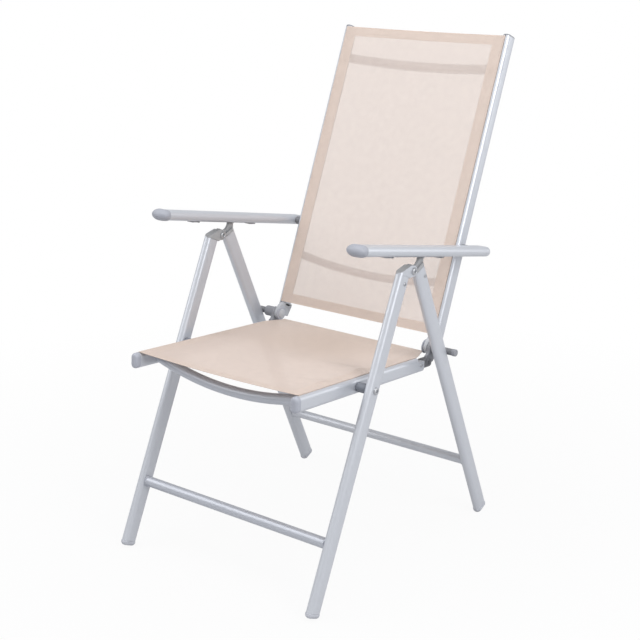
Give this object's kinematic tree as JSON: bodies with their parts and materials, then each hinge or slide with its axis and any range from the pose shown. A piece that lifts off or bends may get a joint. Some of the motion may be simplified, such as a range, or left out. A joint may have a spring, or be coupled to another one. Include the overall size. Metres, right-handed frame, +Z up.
{
  "type": "folding garden armchair",
  "caption": "Folding garden armchair: flat-oval tube frame, stretched mesh seat and back, reclining back held by racks under the armrests.",
  "frame": {"origin": "on the floor under the middle of the chair", "axes": "+Z up, -Y the way the sitter faces, +X to the sitter's left"},
  "size_m": [0.546, 0.7742, 1.0519],
  "materials": {
    "frame_coat": "silver-grey powder coat, satin, with fine metal flake",
    "grey_plastic": "moulded grey plastic with a fine matt grain",
    "dark_plastic": "moulded dark grey plastic, matt",
    "fastener_steel": "zinc-plated steel",
    "sling_mesh": "see-through cream-beige coated mesh with double hems"
  },
  "bodies": {
    "front_legs": {"front_leg_left": "frame_coat", "front_leg_right": "frame_coat", "front_foot_left": "grey_plastic", "front_foot_right": "grey_plastic", "front_knuckle_left": "grey_plastic", "front_knuckle_right": "grey_plastic", "leg_hinge_bolt_left": "fastener_steel", "leg_hinge_bolt_right": "fastener_steel", "front_knuckle_screw_left": "fastener_steel", "front_knuckle_screw_right": "fastener_steel", "seat_pivot_bolt_left": "fastener_steel", "seat_pivot_bolt_right": "fastener_steel", "seat_pivot_spacer_left": "dark_plastic", "seat_pivot_spacer_right": "dark_plastic", "front_stretcher": "frame_coat"},
    "rear_legs": {"rear_leg_left": "frame_coat", "rear_leg_right": "frame_coat", "rear_foot_left": "grey_plastic", "rear_foot_right": "grey_plastic", "rear_horn_left": "grey_plastic", "rear_horn_right": "grey_plastic", "lock_pin_left": "fastener_steel", "lock_pin_right": "fastener_steel", "rear_horn_screw_left": "fastener_steel", "rear_horn_screw_right": "fastener_steel", "rear_stretcher": "frame_coat"},
    "seat": {"seat_rail_left": "frame_coat", "seat_rail_right": "frame_coat", "seat_front_cap_left": "grey_plastic", "seat_front_cap_right": "grey_plastic", "seat_hinge_plug_left": "grey_plastic", "seat_hinge_plug_right": "grey_plastic", "seat_hinge_screw_left": "fastener_steel", "seat_hinge_screw_right": "fastener_steel", "seat_front_bar": "frame_coat", "seat_sling": "sling_mesh"},
    "hinge_rods": {"hinge_rod_left": "dark_plastic", "hinge_rod_right": "dark_plastic"},
    "backrest": {"back_rail_left": "frame_coat", "back_rail_right": "frame_coat", "back_top_cap_left": "dark_plastic", "back_top_cap_right": "dark_plastic", "back_bracket_left": "grey_plastic", "back_bracket_right": "grey_plastic", "back_upper_bar": "frame_coat", "back_lower_bar": "frame_coat", "back_sling": "sling_mesh"},
    "arm_pivots": {"arm_pivot_bolt_left": "fastener_steel", "arm_pivot_bolt_right": "fastener_steel", "arm_pivot_bush_left": "dark_plastic", "arm_pivot_bush_right": "dark_plastic"},
    "left_armrest": {"armrest_left": "frame_coat", "armrest_front_cap_left": "grey_plastic", "armrest_rear_cap_left": "frame_coat", "armrest_rack_left": "dark_plastic"},
    "right_armrest": {"armrest_right": "frame_coat", "armrest_front_cap_right": "grey_plastic", "armrest_rear_cap_right": "frame_coat", "armrest_rack_right": "dark_plastic"}
  },
  "joints": [
    {"name": "leg_fold", "type": "hinge", "parent": "front_legs", "child": "rear_legs", "pos_m": [0, -0.05117, 0.625], "axis": [-1, 0, 0], "range_deg": [0, 44]},
    {"name": "seat_fold", "type": "hinge", "parent": "front_legs", "child": "seat", "pos_m": [0, -0.17531, 0.41201], "axis": [-1, 0, 0], "range_deg": [0, 91]},
    {"name": "rod_fold", "type": "hinge", "parent": "seat", "child": "hinge_rods", "pos_m": [0, 0.09296, 0.42117], "axis": [1, 0, 0], "range_deg": [0, 94]},
    {"name": "back_recline", "type": "hinge", "parent": "hinge_rods", "child": "backrest", "pos_m": [0, 0.09296, 0.42117], "axis": [-1, 0, 0], "range_deg": [0, 28]},
    {"name": "arm_fold", "type": "hinge", "parent": "backrest", "child": "arm_pivots", "pos_m": [0, 0.19524, 0.61584], "axis": [-1, 0, 0], "range_deg": [0, 106.5]},
    {"name": "left_armrest_turn", "type": "hinge", "parent": "arm_pivots", "child": "left_armrest", "pos_m": [0.25, 0.19524, 0.61584], "axis": [1, 0, 0], "range_deg": [0, 18]},
    {"name": "right_armrest_turn", "type": "hinge", "parent": "arm_pivots", "child": "right_armrest", "pos_m": [-0.25, 0.19524, 0.61584], "axis": [1, 0, 0], "range_deg": [0, 18]}
  ],
  "couplings": [
    {"joint": "seat_fold", "follows": "leg_fold", "ratio": 2.065},
    {"joint": "rod_fold", "follows": "leg_fold", "ratio": 2.135},
    {"joint": "arm_fold", "follows": "leg_fold", "ratio": 2.415},
    {"joint": "left_armrest_turn", "follows": "back_recline", "ratio": 0.64},
    {"joint": "right_armrest_turn", "follows": "back_recline", "ratio": 0.64}
  ]
}
